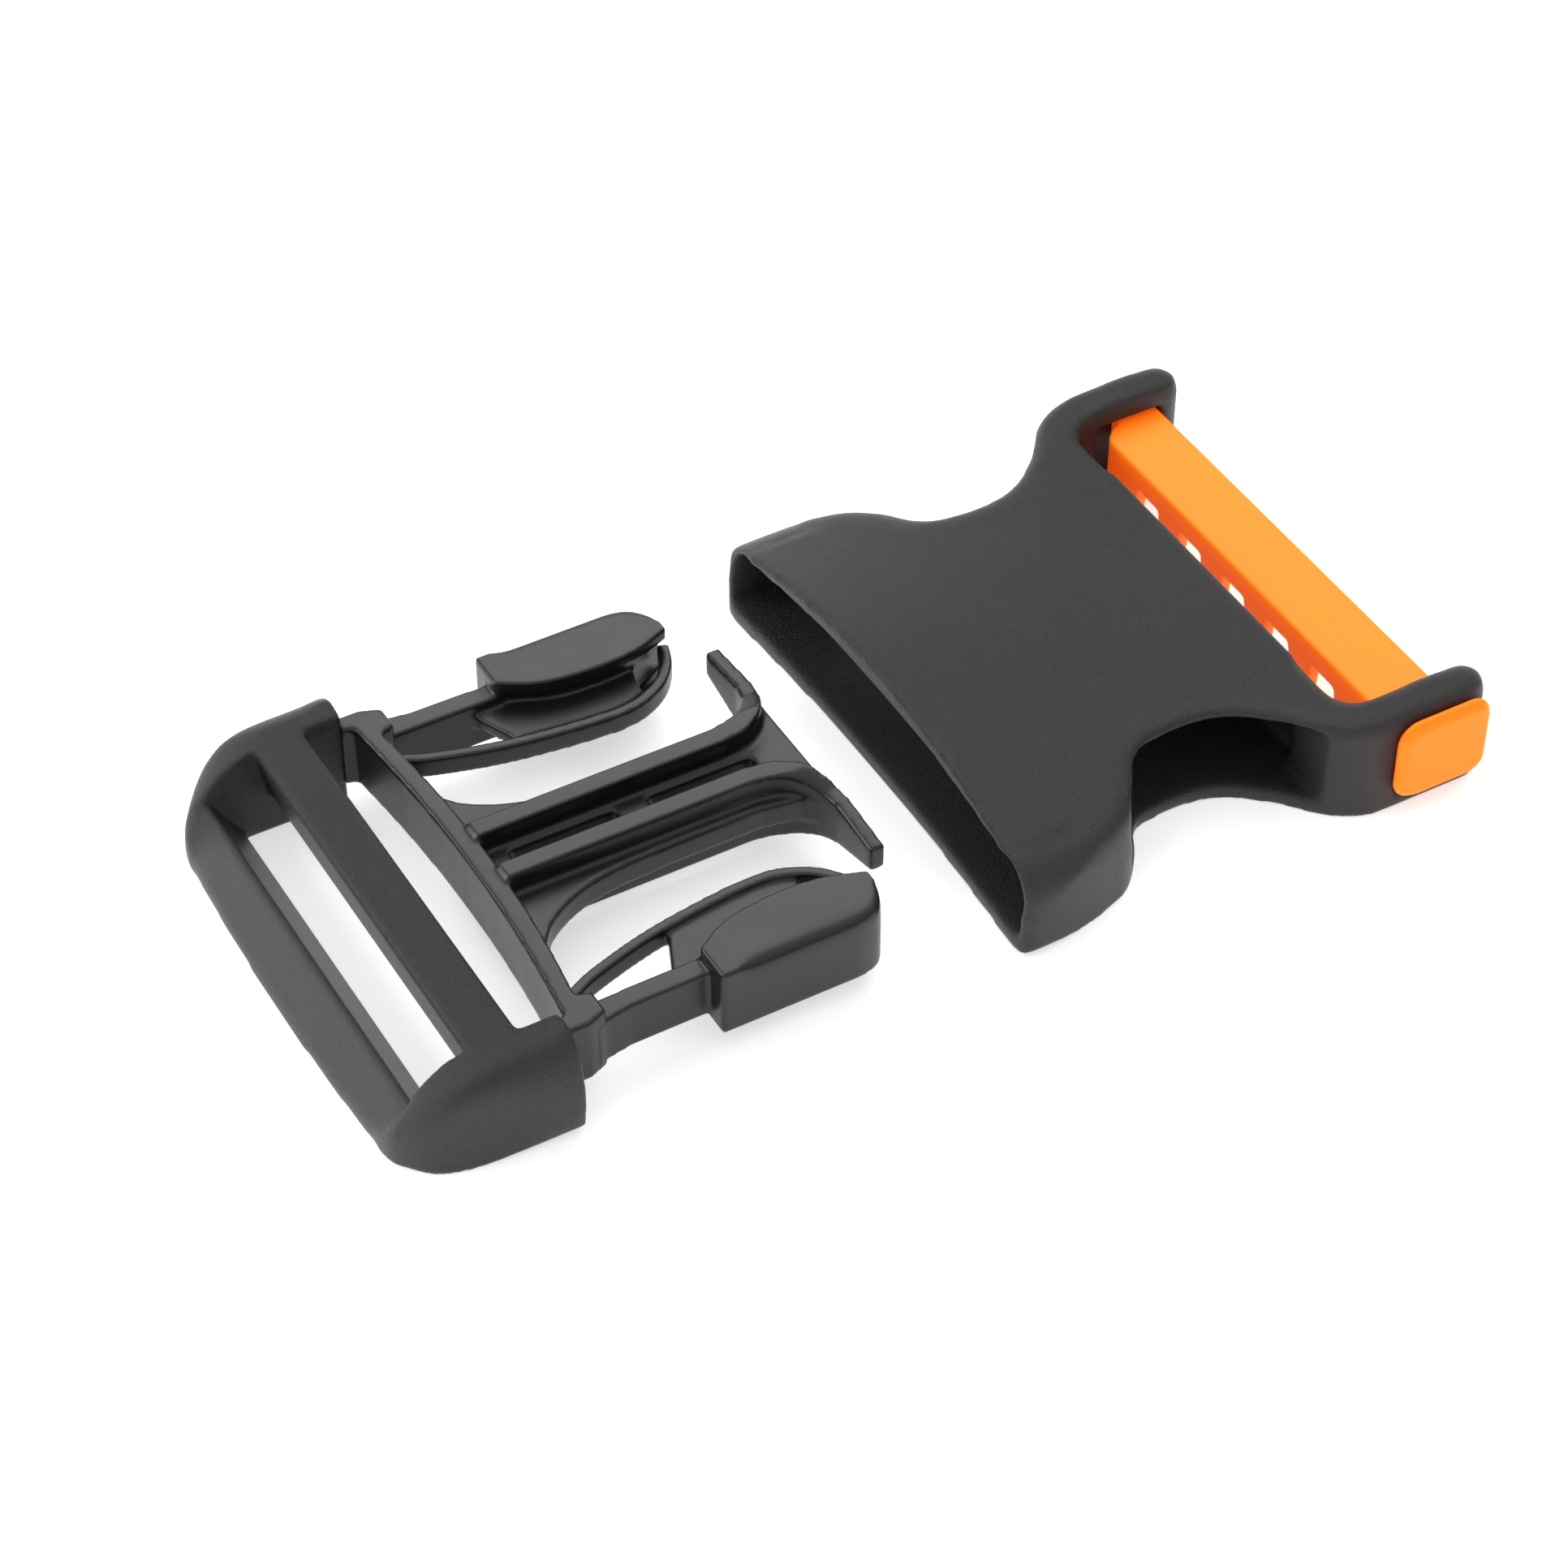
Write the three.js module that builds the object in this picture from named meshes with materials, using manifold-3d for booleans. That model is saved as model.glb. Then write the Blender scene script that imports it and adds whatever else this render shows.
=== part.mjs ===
// Side-release buckle for 50 mm webbing, lying open with its two halves in line.
// Millimetres, +Z up. +X is the direction in which the male half is pushed home, +Y is its left.
// Every x below is measured from a datum in the gap between the halves.

import * as THREE from 'three';
import { mergeVertices } from 'three/addons/utils/BufferGeometryUtils.js';
import { TessellateModifier } from 'three/addons/modifiers/TessellateModifier.js';
import Module from 'manifold-3d';

const wasm = await Module();
wasm.setup();

// Gap left wherever one moulding is divided into several solids.
const SPLIT_GAP = 0.3;

// The box around the whole buckle is centred on the origin by this shift.
const DATUM_SHIFT_X = -2.3;
const DATUM_SHIFT_Y = 0.75;

// Female shell.
const MOUTH_CORNER_X = 7.9;
const MOUTH_CENTRE_X = 9.2;
const MOUTH_HALF_WIDTH = 30.0;
const SHELL_REAR_X = 49.4;
const SHELL_REAR_TOP_Z = 12.7;
const SHELL_REAR_CEILING_Z = 11.3;
const MOUTH_EDGE_TOP_Z = 10.5;
const MOUTH_CROWN = 3.7;
const MOUTH_EDGE_CEILING_Z = 10.6;
const MOUTH_CEILING_CROWN = 1.4;
const CEILING_CROWN_HALF_WIDTH = 26.0;
const FLOOR_THICKNESS = 2.0;
const PLATE_EDGE_RADIUS = 0.9;
const PLATE_MIN_THICKNESS = 0.7;
const PLATE_REAR_HALF_WIDTH = 22.3;
const ARM_ROOT_X = 47.7;
const CATCH_X = 23.8;
const CATCH_TIP_Y = 24.9;
const REAR_WALL_THICKNESS = 0.8;

// Arms that carry the webbing bar.
const ARM_TIP_X = 65.1;
const ARM_INNER_Y = 26.6;
const ARM_OUTER_Y = 31.3;
const ARM_HEIGHT = 13.2;
const ARM_EDGE_RADIUS = 0.7;
const WINDOW_REAR_X = 46.2;

// Removable webbing bar and its pocket.
const BAR_FRONT_X = 53.9;
const BAR_REAR_X = 61.9;
const BAR_TOP_Z = 10.0;
const BAR_SLAB_Z = 6.0;
const BAR_SKIRT_Z = 2.2;
const BAR_SKIRT_THICKNESS = 1.6;
const BAR_NOTCH_TOP_Z = 7.0;
const BAR_END_STEP = 0.15;
const BAR_LEFT_END_Y = 29.1;
const BAR_NOSE_DEPTH = 2.6;
const BAR_CLEARANCE = 0.3;
const BAR_NOTCH_PITCH = 8.4;
const BAR_NOTCH_COUNT = 5;
const BAR_NOTCH_TOP_WIDTH = 3.9;
const BAR_NOTCH_BOTTOM_WIDTH = 5.4;
const CAP_FRONT_X = 52.8;
const CAP_REAR_X = 64.4;
const CAP_BOTTOM_Z = 1.8;
const CAP_TOP_Z = 12.0;
const CAP_CORNER_RADIUS = 2.5;
const CAP_THICKNESS = 1.2;
const CAP_RIM = 0.6;

// Male frame.
const RAIL_END_X = -40.9;
const RAIL_INNER_Y = 23.9;
const RAIL_OUTER_Y = 30.0;
const RAIL_HEIGHT = 12.4;
const FRONT_EDGE_X = -60.5;
const FRONT_EDGE_BOW = 0.9;
const CROSSBAR_HALF_LENGTH = 23.6;
const CENTRE_BAR_TOP_Z = 12.0;
const CENTRE_BAR_BOTTOM_Z = 5.0;
const CROSS_WALL_BOTTOM_Z = 2.6;
const CROSS_WALL_TOP_Z = 10.4;

// Guide tongue.
const TONGUE_WEB_BOTTOM_Z = 5.4;
const TONGUE_WEB_TOP_Z = 8.4;
const TONGUE_RAIL_BOTTOM_Z = 2.4;
const TONGUE_RAIL_TOP_Z = 11.0;
const TONGUE_ROOT_X = -35.8;
const TONGUE_FRONT_X = -0.2;
const TONGUE_WING_THICKNESS = 1.7;
const TONGUE_WING_TIP_Y = 17.3;
const TONGUE_SLIT_HALF_WIDTH = 1.25;

// Latch arms.
const ARM_BOTTOM_Z = 2.4;
const ARM_TOP_Z = 10.6;
const LEG_BOTTOM_Z = 3.2;
const LEG_TOP_Z = 8.9;
const HEAD_SHOULDER_X = -24.3;
const HEAD_TIP_X = -4.5;
const HEAD_OUTER_Y = 26.9;
const HEAD_PLATE_THICKNESS = 1.7;
const LEG_ROOT_X = -35.7;
const STRIP_WIDTH = 1.3;
const STRIP_BOTTOM_Z = 5.7;
const STRIP_TOP_Z = 8.2;
const WEB_BOTTOM_Z = 6.0;
const WEB_TOP_Z = 7.6;

const TEXTURED_ACETAL = new THREE.MeshStandardMaterial({ color: 0x2b2b2a, roughness: 0.62, metalness: 0 });
const SMOOTH_ACETAL = new THREE.MeshStandardMaterial({ color: 0x1d1d1c, roughness: 0.34, metalness: 0 });
const ORANGE_ACETAL = new THREE.MeshStandardMaterial({ color: 0xff7a12, roughness: 0.3, metalness: 0 });

// ---- Solids -------------------------------------------------------------------------------

function toSolid(geometry) {
  const bare = geometry.clone();
  bare.deleteAttribute('normal');
  bare.deleteAttribute('uv');
  const merged = mergeVertices(bare, 1e-4);
  return new wasm.Manifold(new wasm.Mesh({
    numProp: 3,
    vertProperties: new Float32Array(merged.attributes.position.array),
    triVerts: new Uint32Array(merged.index.array),
  }));
}

function toGeometry(solid) {
  const mesh = solid.getMesh();
  const positions = new Float32Array(mesh.numVert * 3);
  for (let vertex = 0; vertex < mesh.numVert; vertex += 1) {
    for (let axis = 0; axis < 3; axis += 1) {
      positions[vertex * 3 + axis] = mesh.vertProperties[vertex * mesh.numProp + axis];
    }
  }
  const geometry = new THREE.BufferGeometry();
  geometry.setAttribute('position', new THREE.BufferAttribute(positions, 3));
  geometry.setIndex(new THREE.BufferAttribute(new Uint32Array(mesh.triVerts), 1));
  return geometry;
}

function join(first, ...others) {
  return toGeometry(others.reduce((solid, other) => solid.add(toSolid(other)), toSolid(first)));
}

function cut(first, ...others) {
  return toGeometry(others.reduce((solid, other) => solid.subtract(toSolid(other)), toSolid(first)));
}

function common(first, ...others) {
  return toGeometry(others.reduce((solid, other) => solid.intersect(toSolid(other)), toSolid(first)));
}

function box(x0, x1, y0, y1, z0, z1) {
  const geometry = new THREE.BoxGeometry(x1 - x0, y1 - y0, z1 - z0);
  return geometry.translate((x0 + x1) / 2, (y0 + y1) / 2, (z0 + z1) / 2);
}

// A plan outline raised between two heights, with its edges rounded over by `radius`.
function slab(shape, z0, z1, radius = 0, curveSegments = 8) {
  const geometry = new THREE.ExtrudeGeometry(shape, {
    depth: z1 - z0 - 2 * radius,
    curveSegments,
    bevelEnabled: radius > 0,
    bevelThickness: radius,
    bevelSize: radius,
    bevelOffset: -radius,
    bevelSegments: 3,
  });
  return geometry.translate(0, 0, z0 + radius);
}

// A section drawn in (y, z) and carried along X.
function prismAlongX(shape, x0, x1) {
  const geometry = new THREE.ExtrudeGeometry(shape, { depth: x1 - x0, bevelEnabled: false, curveSegments: 8 });
  const basis = new THREE.Matrix4().makeBasis(
    new THREE.Vector3(0, 1, 0),
    new THREE.Vector3(0, 0, 1),
    new THREE.Vector3(1, 0, 0),
  );
  return geometry.applyMatrix4(basis).translate(x0, 0, 0);
}

// A section drawn in (x, z) and carried along Y.
function prismAlongY(shape, y0, y1) {
  const geometry = new THREE.ExtrudeGeometry(shape, { depth: y1 - y0, bevelEnabled: false, curveSegments: 8 });
  const basis = new THREE.Matrix4().makeBasis(
    new THREE.Vector3(1, 0, 0),
    new THREE.Vector3(0, 0, 1),
    new THREE.Vector3(0, -1, 0),
  );
  return geometry.applyMatrix4(basis).translate(0, y1, 0);
}

function mirrorY(geometry) {
  const mirrored = geometry.clone().applyMatrix4(new THREE.Matrix4().makeScale(1, -1, 1));
  const index = mirrored.index.array;
  for (let corner = 0; corner < index.length; corner += 3) {
    [index[corner + 1], index[corner + 2]] = [index[corner + 2], index[corner + 1]];
  }
  return mirrored;
}

// ---- Outlines -----------------------------------------------------------------------------

function polygon(points) {
  return new THREE.Shape(points.map(([a, b]) => new THREE.Vector2(a, b)));
}

function smoothPoints(points, count) {
  const curve = new THREE.SplineCurve(points.map(([a, b]) => new THREE.Vector2(a, b)));
  return curve.getSpacedPoints(count).map((point) => [point.x, point.y]);
}

// Closes a half outline, drawn from the centre line outwards and back, with its mirror image.
function symmetric(half) {
  const other = half.filter(([, y]) => Math.abs(y) > 1e-6).map(([x, y]) => [x, -y]).reverse();
  return polygon([...half, ...other]);
}

// A band of constant width along a smooth centre line.
function ribbon(points, width, count) {
  const line = smoothPoints(points, count);
  const sides = [-1, 1].map((side) => line.map(([x, y], i) => {
    const [ax, ay] = line[Math.max(i - 1, 0)];
    const [bx, by] = line[Math.min(i + 1, line.length - 1)];
    const length = Math.hypot(bx - ax, by - ay);
    return [x + (side * width / 2) * ((by - ay) / length), y - (side * width / 2) * ((bx - ax) / length)];
  }));
  return polygon([...sides[0], ...sides[1].reverse()]);
}

function roundedRectangle(x0, x1, z0, z1, radius) {
  const shape = new THREE.Shape();
  shape.moveTo(x0 + radius, z0);
  shape.absarc(x1 - radius, z0 + radius, radius, -Math.PI / 2, 0, false);
  shape.absarc(x1 - radius, z1 - radius, radius, 0, Math.PI / 2, false);
  shape.absarc(x0 + radius, z1 - radius, radius, Math.PI / 2, Math.PI, false);
  shape.absarc(x0 + radius, z0 + radius, radius, Math.PI, Math.PI * 1.5, false);
  return shape;
}

function nodeMesh(name, geometry, material) {
  const flat = geometry.index ? geometry.toNonIndexed() : geometry;
  flat.computeVertexNormals();
  const mesh = new THREE.Mesh(flat, material);
  mesh.name = name;
  return mesh;
}

// ---- Female half --------------------------------------------------------------------------

function mouthEdge(y) {
  const share = (y / MOUTH_HALF_WIDTH) ** 2;
  return MOUTH_CENTRE_X - (MOUTH_CENTRE_X - MOUTH_CORNER_X) * share;
}

// The cheek bulges beside the mouth and necks in to the finger scallop.
const CHEEK_OUTLINE = [
  [9.0, 31.2], [13.0, 30.9], [16.7, 30.1], [19.8, 29.1], [22.3, 28.1], [24.3, 26.3],
  [26.0, 24.0], [27.2, 21.9], [28.9, 20.6], [32.4, 20.2], [36.2, 20.4], [39.4, 21.6], [43.2, 24.8],
  [45.4, 27.4],
];

function plateOutline() {
  const mouth = [0, 10, 20, 28.4].map((y) => [mouthEdge(y), y]);
  return symmetric([
    ...mouth,
    [MOUTH_CORNER_X, 30.6],
    ...smoothPoints(CHEEK_OUTLINE, 30),
    [ARM_ROOT_X - SPLIT_GAP, 29.4],
    [ARM_ROOT_X - SPLIT_GAP, PLATE_REAR_HALF_WIDTH],
    [SHELL_REAR_X, PLATE_REAR_HALF_WIDTH],
    [SHELL_REAR_X, 0],
  ]);
}

function blend(from, to, share) {
  return from + (to - from) * share;
}

function towardsRear(x) {
  const share = (x - MOUTH_CORNER_X) / (SHELL_REAR_X - MOUTH_CORNER_X);
  return Math.min(Math.max(share, 0), 1);
}

function shellTopZ(x, y) {
  const mouth = MOUTH_EDGE_TOP_Z + MOUTH_CROWN * (1 - (y / MOUTH_HALF_WIDTH) ** 2);
  return blend(mouth, SHELL_REAR_TOP_Z, towardsRear(x));
}

function shellCeilingZ(x, y) {
  const mouth = MOUTH_EDGE_CEILING_Z + MOUTH_CEILING_CROWN * (1 - (y / CEILING_CROWN_HALF_WIDTH) ** 2);
  return blend(mouth, SHELL_REAR_CEILING_Z, towardsRear(x));
}

// The top plate is crowned at the mouth and flat at the rear; its upper edge is rounded over.
function shellTopPlate() {
  const twice = slab(plateOutline(), -1, 1, PLATE_EDGE_RADIUS);
  const upper = cut(twice, box(-5, 70, -40, 40, -2, 0));
  const fine = new TessellateModifier(7.5, 14).modify(upper.toNonIndexed());
  const position = fine.attributes.position;
  for (let i = 0; i < position.count; i += 1) {
    const x = position.getX(i);
    const y = position.getY(i);
    const low = shellCeilingZ(x, y);
    position.setZ(i, blend(low, Math.max(shellTopZ(x, y), low + PLATE_MIN_THICKNESS), position.getZ(i)));
  }
  return fine;
}

function shellBottomPlate() {
  const radius = PLATE_EDGE_RADIUS;
  const twice = slab(plateOutline(), 0, 2 * FLOOR_THICKNESS, radius);
  return cut(twice, box(-5, 70, -40, 40, FLOOR_THICKNESS, 2 * FLOOR_THICKNESS + 1));
}

// The side wall ends in the catch face that the latch head snaps behind.
function shellCheek() {
  const shape = polygon([
    [MOUTH_CORNER_X, 29.5],
    [MOUTH_CORNER_X, 30.9],
    ...smoothPoints(CHEEK_OUTLINE.slice(0, 5), 8),
    [CATCH_X, HEAD_OUTER_Y - 0.2],
    [CATCH_X, CATCH_TIP_Y],
    [21.5, 25.4],
    [19.5, 27.1],
    [14.0, 28.5],
  ]);
  const low = FLOOR_THICKNESS + SPLIT_GAP;
  const wall = slab(shape, low, SHELL_REAR_CEILING_Z);
  const position = wall.attributes.position;
  for (let i = 0; i < position.count; i += 1) {
    if (position.getZ(i) > low + 1) {
      position.setZ(i, shellCeilingZ(position.getX(i), position.getY(i)) - SPLIT_GAP);
    }
  }
  return wall;
}

function shellRearWall() {
  return box(
    SHELL_REAR_X - REAR_WALL_THICKNESS,
    SHELL_REAR_X,
    -PLATE_REAR_HALF_WIDTH,
    PLATE_REAR_HALF_WIDTH,
    FLOOR_THICKNESS + SPLIT_GAP,
    SHELL_REAR_CEILING_Z - SPLIT_GAP,
  );
}

// A rib under the ceiling runs in the channel of the guide tongue when the buckle is closed.
function shellGuideRib() {
  return box(15, SHELL_REAR_X - REAR_WALL_THICKNESS - SPLIT_GAP, -1.6, 1.6, 8.8, 11.0);
}

function barArmBlank() {
  const shape = new THREE.Shape();
  shape.moveTo(ARM_ROOT_X, PLATE_REAR_HALF_WIDTH + SPLIT_GAP);
  shape.lineTo(SHELL_REAR_X, PLATE_REAR_HALF_WIDTH + SPLIT_GAP);
  shape.quadraticCurveTo(SHELL_REAR_X, ARM_INNER_Y, 52.8, ARM_INNER_Y);
  shape.lineTo(62.4, ARM_INNER_Y);
  shape.quadraticCurveTo(ARM_TIP_X, ARM_INNER_Y, ARM_TIP_X, 28.9);
  shape.quadraticCurveTo(ARM_TIP_X, ARM_OUTER_Y, 62.4, ARM_OUTER_Y);
  shape.lineTo(52.5, ARM_OUTER_Y);
  shape.quadraticCurveTo(49.8, 31.2, ARM_ROOT_X, 29.7);
  const arm = slab(shape, 0, ARM_HEIGHT, ARM_EDGE_RADIUS, 5);
  const windowEnd = polygon([
    [WINDOW_REAR_X, 22.6],
    [WINDOW_REAR_X + 1.2, PLATE_REAR_HALF_WIDTH],
    [ARM_ROOT_X + 2, PLATE_REAR_HALF_WIDTH + SPLIT_GAP],
    [ARM_ROOT_X + 2, 29.6],
    [WINDOW_REAR_X, 27.8],
  ]);
  return join(arm, slab(windowEnd, FLOOR_THICKNESS + SPLIT_GAP, SHELL_REAR_CEILING_Z - 0.5));
}

function barPocket(y0, y1) {
  return box(
    BAR_FRONT_X - BAR_CLEARANCE,
    BAR_REAR_X + BAR_CLEARANCE,
    y0,
    y1,
    BAR_SKIRT_Z - BAR_CLEARANCE,
    BAR_TOP_Z + BAR_CLEARANCE,
  );
}

function leftBarArm() {
  return cut(barArmBlank(), barPocket(20, BAR_LEFT_END_Y + BAR_CLEARANCE));
}

function rightBarArm() {
  return cut(mirrorY(barArmBlank()), barPocket(-40, -20));
}

// ---- Webbing bar --------------------------------------------------------------------------
// The two ends that sit in the arms are a touch lower than the length the webbing bears on.

function barNotch(centreY) {
  const shape = polygon([
    [centreY - BAR_NOTCH_TOP_WIDTH / 2, BAR_NOTCH_TOP_Z],
    [centreY - BAR_NOTCH_BOTTOM_WIDTH / 2, BAR_SKIRT_Z - 1],
    [centreY + BAR_NOTCH_BOTTOM_WIDTH / 2, BAR_SKIRT_Z - 1],
    [centreY + BAR_NOTCH_TOP_WIDTH / 2, BAR_NOTCH_TOP_Z],
  ]);
  return prismAlongX(shape, BAR_FRONT_X - 1, BAR_FRONT_X + BAR_SKIRT_THICKNESS);
}

function webbingBar() {
  const capInnerY = -(ARM_OUTER_Y + SPLIT_GAP);
  const plan = new THREE.Shape();
  plan.moveTo(BAR_FRONT_X, capInnerY - 0.5);
  plan.lineTo(BAR_REAR_X, capInnerY - 0.5);
  plan.lineTo(BAR_REAR_X, BAR_LEFT_END_Y - 1);
  plan.quadraticCurveTo(BAR_REAR_X, BAR_LEFT_END_Y, BAR_REAR_X - 1, BAR_LEFT_END_Y);
  plan.lineTo(BAR_FRONT_X + BAR_NOSE_DEPTH, BAR_LEFT_END_Y);
  plan.lineTo(BAR_FRONT_X + BAR_NOSE_DEPTH, ARM_INNER_Y);
  plan.quadraticCurveTo(BAR_FRONT_X, ARM_INNER_Y, BAR_FRONT_X, ARM_INNER_Y - BAR_NOSE_DEPTH);
  const section = polygon([
    [BAR_FRONT_X, BAR_SKIRT_Z],
    [BAR_FRONT_X + BAR_SKIRT_THICKNESS, BAR_SKIRT_Z],
    [BAR_FRONT_X + BAR_SKIRT_THICKNESS, BAR_SLAB_Z],
    [BAR_REAR_X, BAR_SLAB_Z],
    [BAR_REAR_X, BAR_TOP_Z - 0.5],
    [BAR_REAR_X - 0.5, BAR_TOP_Z],
    [BAR_FRONT_X + 0.5, BAR_TOP_Z],
    [BAR_FRONT_X, BAR_TOP_Z - 0.5],
  ]);
  const blank = common(slab(plan, 0, BAR_TOP_Z + 1), prismAlongY(section, -40, 40));
  const middle = (BAR_NOTCH_COUNT - 1) / 2;
  const notches = Array.from({ length: BAR_NOTCH_COUNT }, (_, i) => barNotch((i - middle) * BAR_NOTCH_PITCH));
  const endSteps = [[-40, -ARM_INNER_Y + 0.5], [ARM_INNER_Y - 0.5, 40]].map(([y0, y1]) => (
    box(BAR_FRONT_X - 1, BAR_REAR_X + 1, y0, y1, BAR_TOP_Z - BAR_END_STEP, BAR_TOP_Z + 1)
  ));
  const capShape = roundedRectangle(CAP_FRONT_X, CAP_REAR_X, CAP_BOTTOM_Z, CAP_TOP_Z, CAP_CORNER_RADIUS);
  const face = roundedRectangle(
    CAP_FRONT_X + CAP_RIM,
    CAP_REAR_X - CAP_RIM,
    CAP_BOTTOM_Z + CAP_RIM,
    CAP_TOP_Z - CAP_RIM,
    CAP_CORNER_RADIUS - CAP_RIM,
  );
  const capEdgeY = capInnerY - CAP_THICKNESS;
  const cap = join(prismAlongY(capShape, capEdgeY + CAP_RIM, capInnerY), prismAlongY(face, capEdgeY, capInnerY));
  return join(cut(blank, ...notches, ...endSteps), cap);
}

// ---- Male frame ---------------------------------------------------------------------------

function frontEdge(y) {
  return FRONT_EDGE_X + FRONT_EDGE_BOW * (y / CROSSBAR_HALF_LENGTH) ** 2;
}

function frontBar() {
  const wedge = polygon([
    [FRONT_EDGE_X, 0],
    [-52.9, 0],
    [-52.9, 1.2],
    [-56.5, 7.0],
    [-57.1, 7.0],
    [FRONT_EDGE_X + 0.2, 1.4],
  ]);
  const bowed = symmetric([
    ...[0, 8, 16, CROSSBAR_HALF_LENGTH].map((y) => [frontEdge(y), y]),
    [-50, CROSSBAR_HALF_LENGTH],
    [-50, 0],
  ]);
  return common(prismAlongY(wedge, -CROSSBAR_HALF_LENGTH, CROSSBAR_HALF_LENGTH), slab(bowed, -1, 9));
}

function centreBar() {
  const section = polygon([
    [-49.6, CENTRE_BAR_BOTTOM_Z],
    [-45.3, CENTRE_BAR_BOTTOM_Z],
    [-45.3, CENTRE_BAR_TOP_Z - 0.3],
    [-45.6, CENTRE_BAR_TOP_Z],
    [-50.5, CENTRE_BAR_TOP_Z],
    [-50.9, CENTRE_BAR_TOP_Z - 0.5],
  ]);
  return prismAlongY(section, -CROSSBAR_HALF_LENGTH, CROSSBAR_HALF_LENGTH);
}

// The rail is D-shaped in section and its top runs down to the front corner.
function sideRail() {
  const plan = polygon([
    [frontEdge(RAIL_INNER_Y), RAIL_INNER_Y],
    [RAIL_END_X, RAIL_INNER_Y + 0.4],
    [RAIL_END_X, RAIL_OUTER_Y],
    ...smoothPoints([[-46, 29.6], [-51.2, 28.9], [-55.2, 27.9], [-57.9, 26.2], [-59.4, 24.4]], 10),
  ]);
  const section = polygon([
    [RAIL_INNER_Y - 1, 0],
    [28.6, 0],
    ...smoothPoints([[29.7, 1.2], [RAIL_OUTER_Y, 5], [29.6, 8.6], [28.5, 11.2], [26.8, RAIL_HEIGHT]], 8),
    [25.0, RAIL_HEIGHT],
    [RAIL_INNER_Y - 1, RAIL_HEIGHT - 1.2],
  ]);
  const side = polygon([
    [FRONT_EDGE_X, 0],
    [RAIL_END_X, 0],
    [RAIL_END_X, RAIL_HEIGHT],
    ...smoothPoints([[-46.5, 12.4], [-50.5, 12.0], [-54, 10.6], [-57, 8.0], [-59.4, 4.4], [-60.4, 1.4]], 9),
  ]);
  return common(
    slab(plan, -1, RAIL_HEIGHT + 1),
    prismAlongX(section, -70, -30),
    prismAlongY(side, 10, 40),
  );
}

// The wall bows towards the latch arms and ends in the feet the arms grow from.
function crossWall() {
  const backFace = [0, 8, 16, 23.4].map((y) => [-38.5 - 1.7 * (y / 25) ** 2, y]);
  const frontFace = [21.0, 14, 7, 0].map((y) => [-36.1 - 1.5 * (y / 21) ** 2, y]);
  const shape = symmetric([
    ...backFace,
    [RAIL_END_X + SPLIT_GAP, 23.5],
    [RAIL_END_X + SPLIT_GAP, 25.8],
    [-38.2, 25.8],
    [-36.0, 24.9],
    [-36.0, 21.9],
    ...frontFace,
  ]);
  return slab(shape, CROSS_WALL_BOTTOM_Z, CROSS_WALL_TOP_Z);
}

function tongueSlit(x0, x1) {
  return box(x0, x1, -TONGUE_SLIT_HALF_WIDTH, TONGUE_SLIT_HALF_WIDTH, 0, 14);
}

// An H-section: a flat web with two slits between two rails, whose ends turn out into wings.
function guideTongue() {
  const web = symmetric([
    [TONGUE_ROOT_X, 0],
    [TONGUE_ROOT_X - 0.4, 12.6],
    ...smoothPoints([[-34.0, 9.8], [-30.0, 7.6], [-25.0, 6.5], [-18.0, 6.2]], 6),
    [-8.0, 6.2],
    [TONGUE_FRONT_X - TONGUE_WING_THICKNESS, 9.0],
    [TONGUE_FRONT_X - 0.2, 7.4],
    [TONGUE_FRONT_X - 0.2, 0],
  ]);
  const wingBack = TONGUE_FRONT_X - TONGUE_WING_THICKNESS;
  const rail = polygon([
    [TONGUE_ROOT_X, 2.2],
    ...smoothPoints([[-8.0, 2.2], [-5.0, 2.7], [-2.3, 4.6], [-0.7, 7.4], [TONGUE_FRONT_X, 10.0]], 9),
    [TONGUE_FRONT_X, TONGUE_WING_TIP_Y],
    [wingBack, TONGUE_WING_TIP_Y],
    ...smoothPoints([[wingBack, 10.6], [-2.5, 8.2], [-4.1, 6.1], [-6.2, 5.0], [-9.0, 4.6]], 9),
    [TONGUE_ROOT_X, 4.6],
  ]);
  const railSolid = slab(rail, TONGUE_RAIL_BOTTOM_Z, TONGUE_RAIL_TOP_Z);
  const endView = symmetric([
    [TONGUE_RAIL_BOTTOM_Z, 0],
    [TONGUE_RAIL_BOTTOM_Z, 5.2],
    [3.4, 8.4],
    [5.8, TONGUE_WING_TIP_Y],
    [8.8, TONGUE_WING_TIP_Y],
    [9.7, 8.4],
    [TONGUE_RAIL_TOP_Z, 5.2],
    [TONGUE_RAIL_TOP_Z, 0],
  ]);
  const turned = polygon(endView.getPoints().map((point) => [point.y, point.x]));
  const envelope = prismAlongX(turned, TONGUE_ROOT_X - 2, TONGUE_FRONT_X + 1);
  const rails = common(join(railSolid, mirrorY(join(railSolid))), envelope);
  const plate = cut(
    slab(web, TONGUE_WEB_BOTTOM_Z, TONGUE_WEB_TOP_Z),
    tongueSlit(-33.4, -21.3),
    tongueSlit(-17.5, -5.4),
  );
  return join(plate, rails);
}

// ---- Latch arms ---------------------------------------------------------------------------

function latchLeg() {
  const shape = polygon([
    [LEG_ROOT_X, 22.0],
    [HEAD_SHOULDER_X - SPLIT_GAP, 21.9],
    [HEAD_SHOULDER_X - SPLIT_GAP, 24.3],
    [-33.0, 24.4],
    [LEG_ROOT_X, 24.9],
  ]);
  return slab(shape, LEG_BOTTOM_Z, LEG_TOP_Z);
}

function headOuterSide() {
  return [
    [HEAD_SHOULDER_X, HEAD_OUTER_Y],
    ...smoothPoints([[-8.6, HEAD_OUTER_Y], [-6.2, 26.2], [-4.9, 24.4], [HEAD_TIP_X, 22.4]], 6),
  ];
}

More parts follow.
